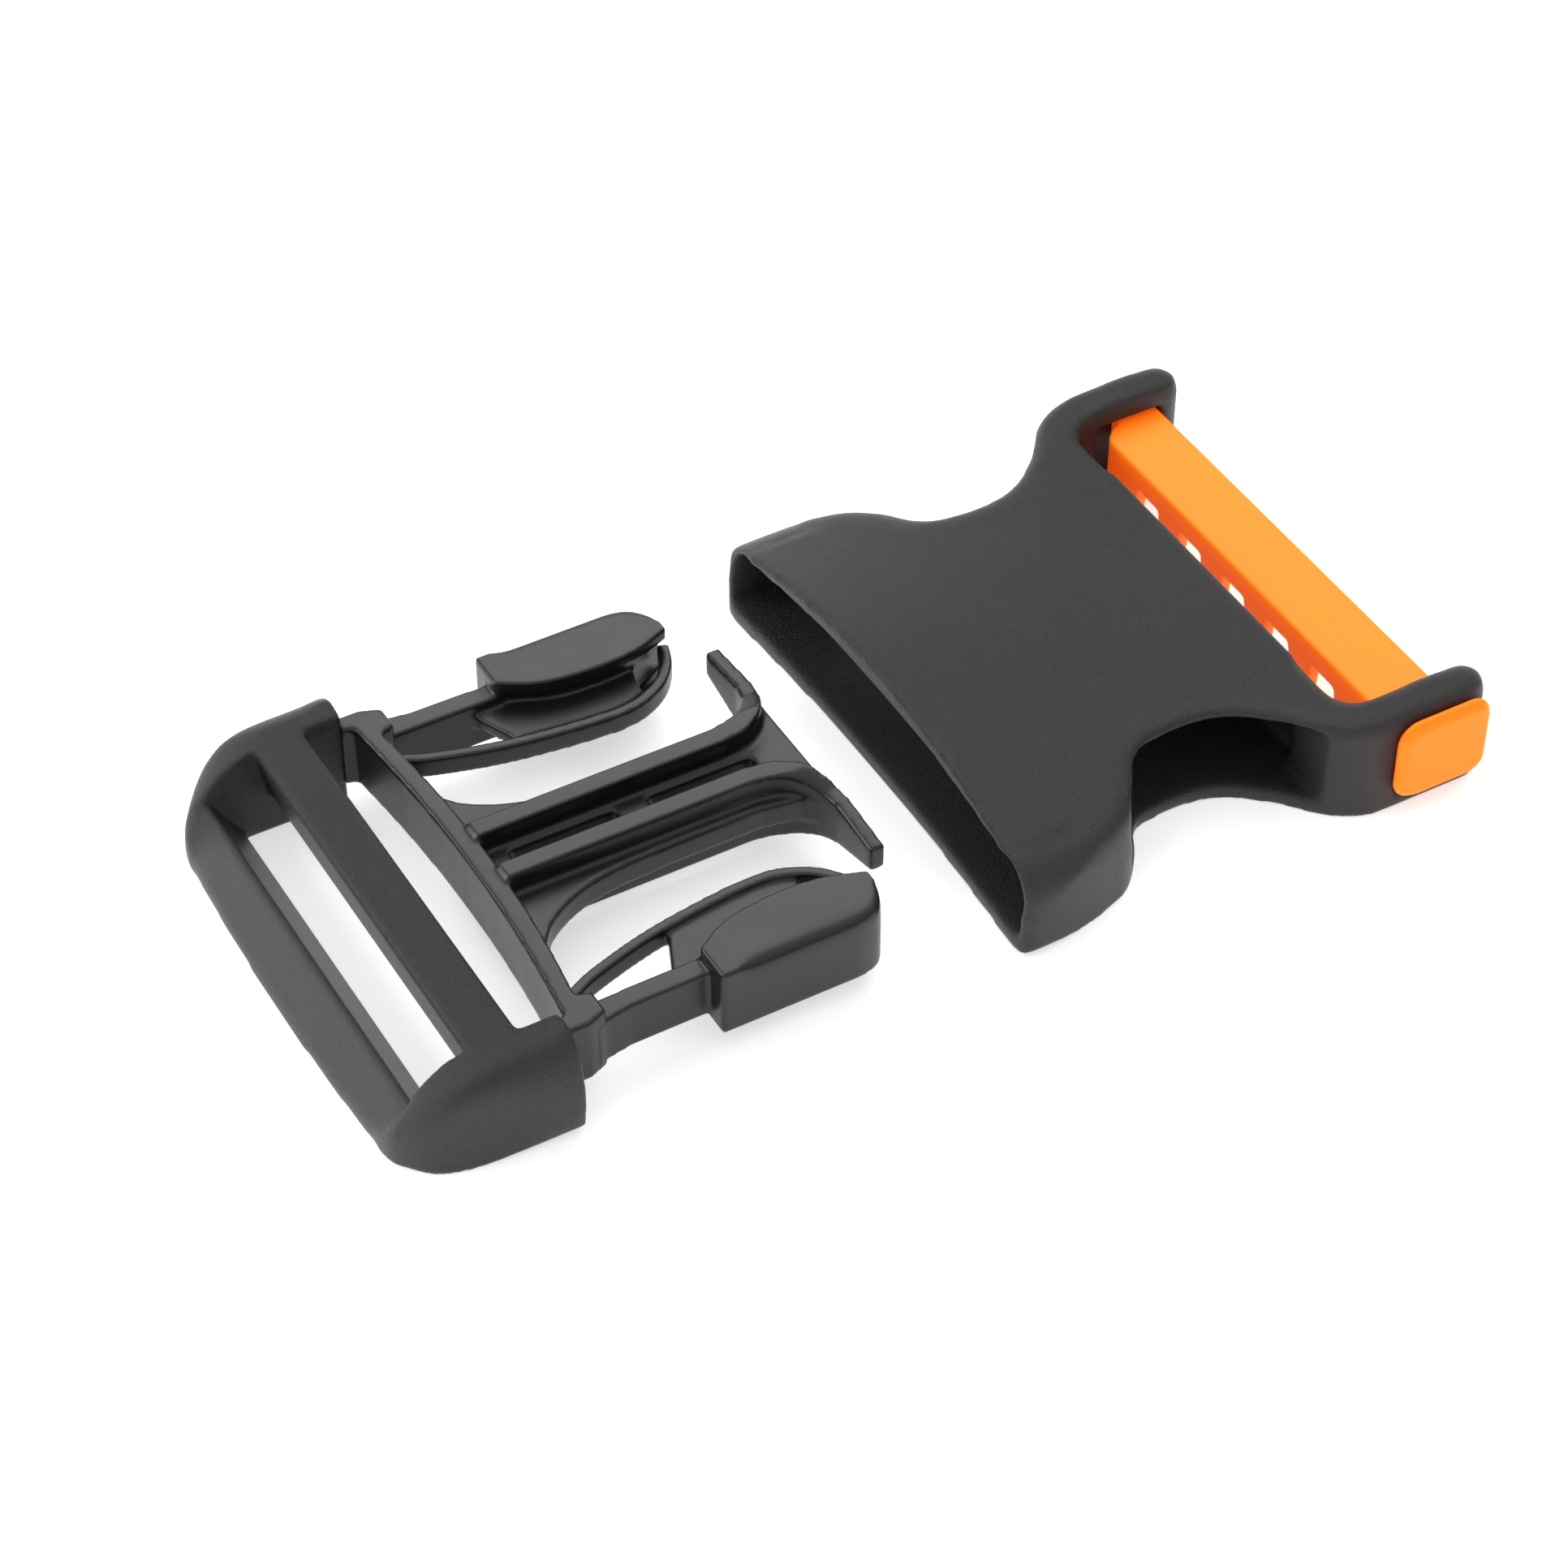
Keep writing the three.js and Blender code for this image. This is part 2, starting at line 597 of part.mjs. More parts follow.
// A deep outer block carries thinner top and bottom plates that overhang towards the centre.
function latchHead() {
  const plate = polygon([
    ...headOuterSide(),
    [HEAD_TIP_X, 21.0],
    ...smoothPoints([[-5.6, 20.6], [-8.8, 19.5], [-13, 19.1], [-18.2, 19.5], [-21.2, 20.4], [-23.4, 21.7]], 8),
    [HEAD_SHOULDER_X, 22.2],
  ]);
  const core = polygon([
    ...headOuterSide(),
    [HEAD_TIP_X - 0.3, 22.4],
    ...smoothPoints([[-8.8, 20.1], [-13, 19.7], [-18.2, 20.1], [-22.0, 21.6]], 6),
    [HEAD_SHOULDER_X, 22.4],
  ]);
  const web = polygon([
    [-23.4, 23.0],
    [-23.4, 16.5],
    ...smoothPoints([[-20.0, 15.95], [-14.0, 15.4], [-10.4, 16.0]], 4),
    [-10.4, 22.6],
  ]);
  return join(
    slab(core, ARM_BOTTOM_Z, ARM_TOP_Z),
    slab(plate, ARM_TOP_Z - HEAD_PLATE_THICKNESS, ARM_TOP_Z),
    slab(plate, ARM_BOTTOM_Z, ARM_BOTTOM_Z + HEAD_PLATE_THICKNESS),
    slab(web, WEB_BOTTOM_Z, WEB_TOP_Z),
  );
}

function returnStrip() {
  const line = [[-36.9, 19.4], [-33.4, 17.8], [-25.0, 15.6], [-13.9, 14.4], [-8.9, 15.7], [-6.0, 18.4], [-5.1, 21.2]];
  return slab(ribbon(line, STRIP_WIDTH, 22), STRIP_BOTTOM_Z, STRIP_TOP_Z);
}

// ---- Assembly -----------------------------------------------------------------------------

function femaleHalf() {
  const group = new THREE.Group();
  group.name = 'female_half';
  group.add(
    nodeMesh('shell_top_plate', shellTopPlate(), TEXTURED_ACETAL),
    nodeMesh('shell_bottom_plate', shellBottomPlate(), TEXTURED_ACETAL),
    nodeMesh('shell_cheek_left', join(shellCheek()), TEXTURED_ACETAL),
    nodeMesh('shell_cheek_right', mirrorY(join(shellCheek())), TEXTURED_ACETAL),
    nodeMesh('shell_rear_wall', shellRearWall(), TEXTURED_ACETAL),
    nodeMesh('shell_guide_rib', shellGuideRib(), SMOOTH_ACETAL),
    nodeMesh('bar_arm_left', leftBarArm(), TEXTURED_ACETAL),
    nodeMesh('bar_arm_right', rightBarArm(), TEXTURED_ACETAL),
    nodeMesh('webbing_bar', webbingBar(), ORANGE_ACETAL),
  );
  return group;
}

function latchArm(side, place) {
  const group = new THREE.Group();
  group.name = `latch_arm_${side}`;
  group.add(
    nodeMesh(`latch_leg_${side}`, place(join(latchLeg())), SMOOTH_ACETAL),
    nodeMesh(`latch_head_${side}`, place(latchHead()), SMOOTH_ACETAL),
    nodeMesh(`return_strip_${side}`, place(join(returnStrip())), SMOOTH_ACETAL),
  );
  return group;
}

function maleHalf() {
  const group = new THREE.Group();
  group.name = 'male_half';
  group.add(
    nodeMesh('front_bar', frontBar(), TEXTURED_ACETAL),
    nodeMesh('centre_bar', centreBar(), TEXTURED_ACETAL),
    nodeMesh('side_rail_left', sideRail(), TEXTURED_ACETAL),
    nodeMesh('side_rail_right', mirrorY(sideRail()), TEXTURED_ACETAL),
    nodeMesh('cross_wall', crossWall(), SMOOTH_ACETAL),
    nodeMesh('guide_tongue', guideTongue(), SMOOTH_ACETAL),
    latchArm('left', (geometry) => geometry),
    latchArm('right', mirrorY),
  );
  return group;
}

const buckle = new THREE.Group();
buckle.name = 'side_release_buckle';
buckle.position.set(DATUM_SHIFT_X, DATUM_SHIFT_Y, 0);
buckle.add(femaleHalf(), maleHalf());

export default buckle;
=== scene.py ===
import math

import bmesh
import bpy
import numpy as np
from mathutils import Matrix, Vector


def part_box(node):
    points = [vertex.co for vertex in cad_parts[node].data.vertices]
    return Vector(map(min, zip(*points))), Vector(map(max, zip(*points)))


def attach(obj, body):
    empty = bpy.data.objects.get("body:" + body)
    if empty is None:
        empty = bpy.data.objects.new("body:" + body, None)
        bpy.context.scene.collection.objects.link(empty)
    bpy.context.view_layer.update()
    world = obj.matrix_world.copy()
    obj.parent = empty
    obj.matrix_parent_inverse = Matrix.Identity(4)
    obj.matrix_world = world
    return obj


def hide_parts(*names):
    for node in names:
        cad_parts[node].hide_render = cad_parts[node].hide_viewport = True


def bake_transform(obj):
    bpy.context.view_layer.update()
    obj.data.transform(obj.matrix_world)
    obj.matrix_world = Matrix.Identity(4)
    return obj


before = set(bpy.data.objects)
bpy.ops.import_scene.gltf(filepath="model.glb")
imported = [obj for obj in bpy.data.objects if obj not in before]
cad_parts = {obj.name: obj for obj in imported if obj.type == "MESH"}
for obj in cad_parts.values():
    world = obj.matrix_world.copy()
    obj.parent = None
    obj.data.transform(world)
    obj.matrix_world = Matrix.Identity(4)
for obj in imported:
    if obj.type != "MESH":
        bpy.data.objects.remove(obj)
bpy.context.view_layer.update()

# ---- Socket half ----------------------------------------------------------------------------
# One black acetal moulding: a crowned hollow shell with a mouth, two finger windows and two arms
# that hold the webbing bar. Its outside is spark-eroded, so light breaks up in fine grain.

MM = 0.001
shell_low, shell_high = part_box("shell_bottom_plate")
MID_Y = (shell_low.y + shell_high.y) / 2 / MM
DATUM_X = shell_low.x / MM - 7.9

SHELL_VOXEL = 0.30
MOUTH_CORNER_X = 7.9
MOUTH_CENTRE_X = 9.2
MOUTH_HALF_WIDTH = 30.0
SHELL_REAR_X = 49.4
REAR_TOP_Z = 12.7
REAR_CEILING_Z = 11.3
MOUTH_TOP_Z = 10.5
MOUTH_CROWN = 3.7
MOUTH_CEILING_Z = 10.6
CEILING_CROWN = 1.4
CEILING_HALF_WIDTH = 26.0
FLOOR_Z = 2.0
CHEEK_OUTLINE = [
    (9.0, 31.2), (13.0, 30.9), (16.7, 30.1), (19.8, 29.1), (22.3, 28.1), (24.3, 26.3),
    (26.0, 24.0), (27.2, 21.9), (28.9, 20.6), (32.4, 20.2), (36.2, 20.4), (39.4, 21.6),
    (43.2, 24.8), (45.4, 27.4), (47.4, 29.4), (50.2, 30.9), (53.0, 31.25),
]
ARM_TIP_X = 65.1
ARM_INNER_Y = 26.6
ARM_OUTER_Y = 31.3
ARM_TOP_Z = 13.2
CATCH_X = 23.8
CATCH_TIP_Y = 24.9
OUTSIDE_ROUNDS = [(5.0, 26.35, 6.2), (1.8, 29.5, 1.8)]
OPENING_ROUNDS = [(4.2, 25.5, 6.6), (1.4, 28.3, 3.4)]


def spline(points, count):
    """Evenly stepped points on a smooth curve through the given ones."""
    pts = [points[0]] + list(points) + [points[-1]]
    line = []
    steps = 12
    for i in range(1, len(pts) - 2):
        p0, p1, p2, p3 = (np.array(pts[j], float) for j in range(i - 1, i + 3))
        for k in range(steps):
            t = k / steps
            line.append(
                0.5
                * (
                    2 * p1
                    + (p2 - p0) * t
                    + (2 * p0 - 5 * p1 + 4 * p2 - p3) * t * t
                    + (3 * p1 - p0 - 3 * p2 + p3) * t ** 3
                )
            )
    line.append(np.array(points[-1], float))
    line = np.array(line)
    run = np.concatenate([[0], np.cumsum(np.linalg.norm(np.diff(line, axis=0), axis=1))])
    at = np.linspace(0, run[-1], count + 1)
    return [(float(np.interp(s, run, line[:, 0])), float(np.interp(s, run, line[:, 1]))) for s in at]


def arc(centre_a, centre_b, radius, start, end, count):
    """Points along a circular arc; angles in degrees."""
    return [
        (centre_a + radius * math.cos(math.radians(t)), centre_b + radius * math.sin(math.radians(t)))
        for t in np.linspace(start, end, count)
    ]


def both_sides(half):
    """Closes a half outline, drawn from the centre line out and back, with its mirror image."""
    return list(half) + [(x, -y) for x, y in reversed(half) if abs(y) > 1e-6]


def mirrored(points):
    return [(x, -y) for x, y in reversed(points)]


def solid_from(name, verts, faces):
    """A closed mesh object; verts are in mm from the datum and the strap's centre line."""
    placed = [((x + DATUM_X) * MM, (y + MID_Y) * MM, z * MM) for x, y, z in verts]
    mesh = bpy.data.meshes.new(name)
    mesh.from_pydata(placed, [], faces)
    work = bmesh.new()
    work.from_mesh(mesh)
    bmesh.ops.recalc_face_normals(work, faces=work.faces)
    work.to_mesh(mesh)
    work.free()
    obj = bpy.data.objects.new(name, mesh)
    bpy.context.scene.collection.objects.link(obj)
    return obj


def prism(outline, low, high, along="z"):
    """An outline carried along one axis. It is drawn in (x, y), or (x, z) along y, or (y, z) along x."""
    place = {
        "z": lambda a, b, c: (a, b, c),
        "y": lambda a, b, c: (a, c, b),
        "x": lambda a, b, c: (c, a, b),
    }[along]
    n = len(outline)
    verts = [place(a, b, low) for a, b in outline] + [place(a, b, high) for a, b in outline]
    faces = [tuple(range(n)), tuple(range(n, 2 * n))]
    faces += [(i, (i + 1) % n, n + (i + 1) % n, n + i) for i in range(n)]
    return solid_from("solid", verts, faces)


def box(x0, x1, y0, y1, z0, z1):
    return prism([(x0, y0), (x1, y0), (x1, y1), (x0, y1)], z0, z1)


def domed_block(x0, x1, half_width, low, top_z, columns=24, rows=32):
    """A block whose top follows top_z(x, y)."""
    verts, faces = [], []
    for level in (0, 1):
        for i in range(columns + 1):
            for j in range(rows + 1):
                x = x0 + (x1 - x0) * i / columns
                y = -half_width + 2 * half_width * j / rows
                verts.append((x, y, top_z(x, y) if level else low))
    size = (columns + 1) * (rows + 1)
    at = lambda level, i, j: level * size + i * (rows + 1) + j
    for i in range(columns):
        for j in range(rows):
            for level in (0, 1):
                faces.append((at(level, i, j), at(level, i + 1, j),
                              at(level, i + 1, j + 1), at(level, i, j + 1)))
    for i in range(columns):
        for j in (0, rows):
            faces.append((at(0, i, j), at(0, i + 1, j), at(1, i + 1, j), at(1, i, j)))
    for j in range(rows):
        for i in (0, columns):
            faces.append((at(0, i, j), at(0, i, j + 1), at(1, i, j + 1), at(1, i, j)))
    return solid_from("domed", verts, faces)


def boolean(obj, other, operation):
    bpy.context.view_layer.objects.active = obj
    change = obj.modifiers.new("cut", "BOOLEAN")
    change.operation = operation
    change.solver = "EXACT"
    change.object = other
    bpy.ops.object.modifier_apply(modifier=change.name)
    bpy.data.objects.remove(other, do_unlink=True)
    return obj


def subtract(obj, *others):
    for other in others:
        boolean(obj, other, "DIFFERENCE")
    return obj


def intersect(obj, *others):
    for other in others:
        boolean(obj, other, "INTERSECT")
    return obj


def fuse(name, solids, voxel):
    """Overlapping solids become one even skin, as a moulding is one piece."""
    target = solids[0]
    bpy.ops.object.select_all(action="DESELECT")
    for obj in solids:
        obj.select_set(True)
    bpy.context.view_layer.objects.active = target
    if len(solids) > 1:
        bpy.ops.object.join()
    remesh = target.modifiers.new("skin", "REMESH")
    remesh.mode = "VOXEL"
    remesh.voxel_size = voxel * MM
    remesh.adaptivity = 0.0
    bpy.ops.object.modifier_apply(modifier=remesh.name)
    target.name = name
    target.data.name = name
    for polygon in target.data.polygons:
        polygon.use_smooth = True
    return target


def soften(obj, passes, amount=None):
    """Relaxes the skin so that edges take a moulded radius. amount(x, y, z) in mm gives 0 to 1."""
    count = len(obj.data.vertices)
    co = np.zeros(count * 3)
    obj.data.vertices.foreach_get("co", co)
    co = co.reshape(-1, 3)
    edges = np.zeros(len(obj.data.edges) * 2, np.int64)
    obj.data.edges.foreach_get("vertices", edges)
    a, b = edges.reshape(-1, 2).T
    degree = np.bincount(a, minlength=count) + np.bincount(b, minlength=count)
    if amount is None:
        weight = np.ones(count)
    else:
        weight = amount(co[:, 0] / MM - DATUM_X, co[:, 1] / MM - MID_Y, co[:, 2] / MM)
    for _ in range(passes):
        mean = np.empty_like(co)
        for axis in range(3):
            total = np.bincount(a, co[b, axis], count) + np.bincount(b, co[a, axis], count)
            mean[:, axis] = total / degree
        co += 0.5 * weight[:, None] * (mean - co)
    obj.data.vertices.foreach_set("co", co.ravel())
    obj.data.update()
    return obj


def ramp(value, start, end):
    """0 before start, 1 after end, straight between."""
    return np.clip((value - start) / (end - start), 0, 1)


def mix(a, b, share):
    return a + (b - a) * share


def toward_rear(x):
    return min(max((x - MOUTH_CORNER_X) / (SHELL_REAR_X - MOUTH_CORNER_X), 0), 1)


def shell_top(x, y):
    mouth = MOUTH_TOP_Z + MOUTH_CROWN * (1 - (y / MOUTH_HALF_WIDTH) ** 2)
    return mix(mouth, REAR_TOP_Z, toward_rear(x))


def shell_ceiling(x, y):
    mouth = MOUTH_CEILING_Z + CEILING_CROWN * (1 - (y / CEILING_HALF_WIDTH) ** 2)
    return mix(mouth, REAR_CEILING_Z, toward_rear(x))


def mouth_edge(y):
    return MOUTH_CENTRE_X - (MOUTH_CENTRE_X - MOUTH_CORNER_X) * (y / MOUTH_HALF_WIDTH) ** 2


def round_corners(solid, rounds, x0, x1):
    """Rounds the section's top and bottom corners on both sides; rounds hold radius, centre y, centre z."""
    for side in (-1, 1):
        for (radius, y, z), start in zip(rounds, (0, -90)):
            curve = [(side * a, b) for a, b in arc(y, z, radius, start, start + 90, 12)]
            if start == 0:
                far = [(side * y, 18), (side * 36, 18), (side * 36, z)]
            else:
                far = [(side * 36, z), (side * 36, -3), (side * y, -3)]
            subtract(solid, prism(curve + far, x0, x1, "x"))
    return solid


def shell_outside():
    half = [(mouth_edge(y), y) for y in (0, 6, 12, 18, 24, 28.8)]
    half += [(8.1, 30.0), (8.4, 30.6), (8.9, 31.0)] + spline([(9.9, 31.15)] + CHEEK_OUTLINE[1:], 60)
    half += [(53.0, 28.0), (SHELL_REAR_X, 28.0), (SHELL_REAR_X, 0)]
    block = prism(both_sides(half), 0, 16)
    intersect(block, domed_block(0, 60, 34, -1, shell_top))
    return round_corners(block, OUTSIDE_ROUNDS, 0, 17.2)


def bar_arm(side):
    outline = [(47.0, 22.0), (SHELL_REAR_X, 22.0)]
    outline += arc(SHELL_REAR_X + 3.4, ARM_INNER_Y - 3.4, 3.4, 180, 90, 8)
    outline += arc(ARM_TIP_X - 2.2, ARM_INNER_Y + 2.2, 2.2, -90, 0, 8)
    outline += arc(ARM_TIP_X - 2.5, ARM_OUTER_Y - 2.5, 2.5, 0, 90, 8)
    outline += [(53.0, ARM_OUTER_Y), (50.2, 30.9), (47.4, 29.4)]
    if side < 0:
        outline = mirrored(outline)
    arm = prism(outline, 0, ARM_TOP_Z)
    slope = prism([(46, -1), (46, 12.55), (50, 12.75), (54, 13.1), (58, 13.25), (66, 13.1), (66, -1)],
                  -40, 40, "y")
    return intersect(arm, slope)


def shell_cavity():
    half = [(0, 0), (0, 29.7), (8.6, 29.7), (14.0, 29.2), (19.5, 27.1), (21.5, 25.4), (CATCH_X, CATCH_TIP_Y)]
    half += [(CATCH_X, 34), (46.4, 34), (46.4, 22.6), (47.0, 21.4), (48.5, 20.8), (48.5, 0)]
    hollow = prism(both_sides(half), FLOOR_Z, 16)
    intersect(hollow, domed_block(-5, 60, 36, -1, shell_ceiling))
    return round_corners(hollow, OPENING_ROUNDS, -1, 20)


# Each arm holds the bar in a pocket that is blind on the left and open on the right.
POCKET_X = (53.6, 62.2)
POCKET_Z = (1.9, 10.3)
POCKET_BLIND_Y = 29.4
shell = subtract(shell_outside(), shell_cavity())
left_arm = subtract(bar_arm(1), box(*POCKET_X, 20, POCKET_BLIND_Y, *POCKET_Z))
right_arm = subtract(bar_arm(-1), box(*POCKET_X, -40, -20, *POCKET_Z))
guide_rib = box(15, 48.9, -1.6, 1.6, 9.0, 12.0)
socket = fuse("socket_moulding", [shell, left_arm, right_arm, guide_rib], SHELL_VOXEL)
# All edges take a small radius; the mouth corners and the cheek tops flow into broad curves.
soften(socket, 8)
soften(socket, 30, lambda x, y, z: ramp(x, 12.5, 10.5) * ramp(np.abs(y), 25, 28) * ramp(z, 5, 7))
soften(
    socket,
    130,
    lambda x, y, z: ramp(x, 15.5, 18.0) * ramp(x, 30, 26) * ramp(np.abs(y), 19, 22) * ramp(z, 5, 8),
)
soften(socket, 45, lambda x, y, z: ramp(x, 27, 30) * ramp(np.abs(y), 17, 19) * ramp(z, 11.2, 11.8))


def linear(hex_colour):
    """sRGB hex to a linear colour."""
    channels = [int(hex_colour[i:i + 2], 16) / 255 for i in (1, 3, 5)]
    return [c / 12.92 if c <= 0.04045 else ((c + 0.055) / 1.055) ** 2.4 for c in channels] + [1.0]


def add_node(tree, kind, links=(), **settings):
    """Adds a node, sets its properties or input values, and links outputs into its inputs."""
    made = tree.nodes.new(kind)
    for key, value in settings.items():
        if hasattr(made, key):
            setattr(made, key, value)
        else:
            made.inputs[key.replace("_", " ")].default_value = value
    for source, socket_name, target in links:
        tree.links.new(source.outputs[socket_name], made.inputs[target])
    return made


def new_material(name):
    material = bpy.data.materials.new(name)
    material.use_nodes = True
    tree = material.node_tree
    tree.nodes.clear()
    return material, tree


# Spark-eroded black acetal: dark grey with a fine, even grain that glitters under soft light.
# The real grain is finer than this; it is drawn coarser so that it still shows.
GRAIN_MM = 0.15
RELIEF_MM = 0.2
textured_acetal, tree = new_material("black acetal, spark-eroded")
coords = add_node(tree, "ShaderNodeTexCoord")
grain = add_node(tree, "ShaderNodeTexNoise", [(coords, "Object", "Vector")],
                 Scale=1 / (GRAIN_MM * MM) / 2, Detail=4.0, Roughness=0.75)
wide = add_node(tree, "ShaderNodeTexNoise", [(coords, "Object", "Vector")], Scale=180.0, Detail=2.0)
bump = add_node(tree, "ShaderNodeBump", [(grain, "Fac", "Height")], Strength=1.0, Distance=RELIEF_MM * MM)
tone = add_node(tree, "ShaderNodeValToRGB", [(wide, "Fac", "Fac")])
tone.color_ramp.elements[0].color = linear("#191918")
tone.color_ramp.elements[1].color = linear("#212120")
gloss = add_node(tree, "ShaderNodeMapRange", [(grain, "Fac", "Value")])
gloss.inputs["To Min"].default_value = 0.18
gloss.inputs["To Max"].default_value = 0.5
surface = add_node(tree, "ShaderNodeBsdfPrincipled",
                   [(tone, "Color", "Base Color"), (gloss, "Result", "Roughness"),
                    (bump, "Normal", "Normal")],
                   IOR=1.48)
add_node(tree, "ShaderNodeOutputMaterial", [(surface, "BSDF", "Surface")])
socket.data.materials.clear()
socket.data.materials.append(textured_acetal)
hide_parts("shell_top_plate", "shell_bottom_plate", "shell_cheek_left", "shell_cheek_right",
            "shell_rear_wall", "shell_guide_rib", "bar_arm_left", "bar_arm_right")
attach(socket, "female_shell")

# ---- Webbing bar ----------------------------------------------------------------------------
# The removable bar: one orange acetal moulding with a notched front skirt and an end cap that
# closes the pocket in the right arm. It is slid in from the side and snaps home.

BAR_VOXEL = 0.22
plan = [(53.9, -32.1), (61.9, -32.1), (61.9, 28.4), (61.2, 29.1), (57.0, 29.1), (56.4, 27.0), (55.4, 26.5),
        (54.5, 25.7), (54.0, 24.8), (53.9, 24.0)]
section = [(53.9, 2.2), (55.5, 2.2), (55.5, 6.0), (61.9, 6.0), (61.9, 10.0), (53.9, 10.0)]
bar = intersect(prism(plan, 0, 12), prism(section, -40, 40, "y"))
NOTCH_COUNT = 5
NOTCH_PITCH = 8.4
for k in range(NOTCH_COUNT):
    centre = (k - NOTCH_COUNT // 2) * NOTCH_PITCH
    notch = [(centre - 1.95, 7.0), (centre - 2.7, 1.0), (centre + 2.7, 1.0), (centre + 1.95, 7.0)]
    subtract(bar, prism(notch, 53.0, 55.6, "x"))


def cap_outline(inset):
    r = 2.5 - inset
    x0, x1, z0, z1 = 52.8 + inset, 64.4 - inset, 1.8 + inset, 12.0 - inset
    return (arc(x1 - r, z0 + r, r, -90, 0, 8) + arc(x1 - r, z1 - r, r, 0, 90, 8)
            + arc(x0 + r, z1 - r, r, 90, 180, 8) + arc(x0 + r, z0 + r, r, 180, 270, 8))


CAP_INNER_Y = -31.45
cap = prism(cap_outline(0.0), -32.2, CAP_INNER_Y, "y")
cap_face = prism(cap_outline(0.55), -32.8, CAP_INNER_Y, "y")
bar = fuse("webbing_bar_moulding", [bar, cap, cap_face], BAR_VOXEL)
soften(bar, 6)

# Orange acetal: satin, with light carried a little way inside by subsurface scattering, plus a painted
# red-orange glow (emission) that lifts the shaded sides though the bar is no lamp.
# Strength of the painted glow: emission standing in for light passing through the plastic.
PAINTED_GLOW_STRENGTH = 0.5
orange_acetal, tree = new_material("orange acetal, satin")
coords = add_node(tree, "ShaderNodeTexCoord")
ripple = add_node(tree, "ShaderNodeTexNoise", [(coords, "Object", "Vector")], Scale=900.0, Detail=2.0)
bump = add_node(tree, "ShaderNodeBump", [(ripple, "Fac", "Height")], Strength=0.15, Distance=0.00005)
tone = add_node(tree, "ShaderNodeValToRGB", [(ripple, "Fac", "Fac")])
tone.color_ramp.elements[0].color = linear("#ff8c00")
tone.color_ramp.elements[1].color = linear("#ff9200")
surface = add_node(tree, "ShaderNodeBsdfPrincipled",
                   [(tone, "Color", "Base Color"), (bump, "Normal", "Normal")],
                   Roughness=0.5, IOR=1.35)
surface.inputs["Subsurface Weight"].default_value = 0.35
surface.inputs["Subsurface Radius"].default_value = (1.0, 0.28, 0.04)
surface.inputs["Subsurface Scale"].default_value = 0.0022
# Painted glow: an even red-orange emission over the whole bar, not light from any lamp.
surface.inputs["Emission Color"].default_value = linear("#ff4a10")
surface.inputs["Emission Strength"].default_value = PAINTED_GLOW_STRENGTH
add_node(tree, "ShaderNodeOutputMaterial", [(surface, "BSDF", "Surface")])
bar.data.materials.clear()
bar.data.materials.append(orange_acetal)
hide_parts("webbing_bar")
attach(bar, "webbing_bar")

# ---- Slider frame ---------------------------------------------------------------------------
# The ladder-lock end of the male half: two D-section rails, a wedge-shaped front bar and a flat
# centre bar, all in the same grained black acetal. The webbing is gripped between the two bars.

FRAME_VOXEL = 0.28
RAIL_END_X = -40.9
rail_plan = [(-59.6, 23.0), (RAIL_END_X, 23.9), (RAIL_END_X, 30.0)]
rail_plan += spline([(-46, 29.6), (-51.2, 28.9), (-55.2, 27.9), (-57.9, 26.2), (-59.5, 24.0),
                     (-59.9, 22.0)], 30)
rail_section = [(21.5, 0), (28.6, 0)]
rail_section += spline([(29.7, 1.2), (30.0, 5), (29.6, 8.6), (28.5, 11.2), (26.8, 12.4)], 24)
rail_section += [(25.0, 12.3), (24.2, 11.9), (23.9, 11.2), (23.9, 6.4), (21.5, 6.2)]
rail_side = [(-61, 0), (RAIL_END_X, 0), (RAIL_END_X, 12.4)]
rail_side += spline([(-46.5, 12.4), (-50.5, 12.0), (-54, 10.6), (-57, 8.0), (-59.4, 4.4), (-60.4, 1.4)], 30)


def side_rail(side):
    plan_side = rail_plan if side > 0 else mirrored(rail_plan)
    section_side = rail_section if side > 0 else [(-a, b) for a, b in reversed(rail_section)]
    rail = prism(plan_side, -1, 14)
    intersect(rail, prism(section_side, -70, -30, "x"), prism(rail_side, -40, 40, "y"))
    clear_slot = box(-56.0, RAIL_END_X + 5, *sorted((side * 20.0, side * 23.9)), -2, 16)
    return subtract(rail, clear_slot)


wedge = [(-60.5, 0), (-52.9, 0), (-52.9, 1.2), (-56.5, 7.0), (-57.1, 7.0), (-60.3, 1.4)]
front_edge = both_sides([(-60.5 + 0.9 * (y / 23.6) ** 2, y) for y in (0, 6, 12, 18, 24.6)]
                        + [(-50, 24.6), (-50, 0)])
front_bar = intersect(prism(wedge, -24.6, 24.6, "y"), prism(front_edge, -1, 9))
centre_section = [(-49.6, 5.0), (-45.3, 5.0), (-45.3, 11.8), (-45.5, 12.0), (-50.6, 12.0), (-50.9, 11.6)]
centre_bar = prism(centre_section, -24.6, 24.6, "y")
slider = fuse("slider_frame_moulding", [side_rail(1), side_rail(-1), front_bar, centre_bar], FRAME_VOXEL)
# The front lip is eased, and the outside of each rail is drawn into one rounded nose.
soften(slider, 6)
soften(slider, 30, lambda x, y, z: ramp(-x, 56.5, 58.5))
soften(slider, 110, lambda x, y, z: ramp(np.abs(y), 24.6, 26.4) * ramp(-x, 42.2, 43.6) * ramp(z, 0.8, 2.5))
slider.data.materials.clear()
slider.data.materials.append(textured_acetal)
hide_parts("front_bar", "centre_bar", "side_rail_left", "side_rail_right")
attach(slider, "male_frame")

# ---- Cross wall and guide tongue ------------------------------------------------------------
# The plug end of the male half: a bowed wall and an H-section tongue that centres it in the
# mouth, with its rails turned out into two wings. These surfaces were polished in the tool.

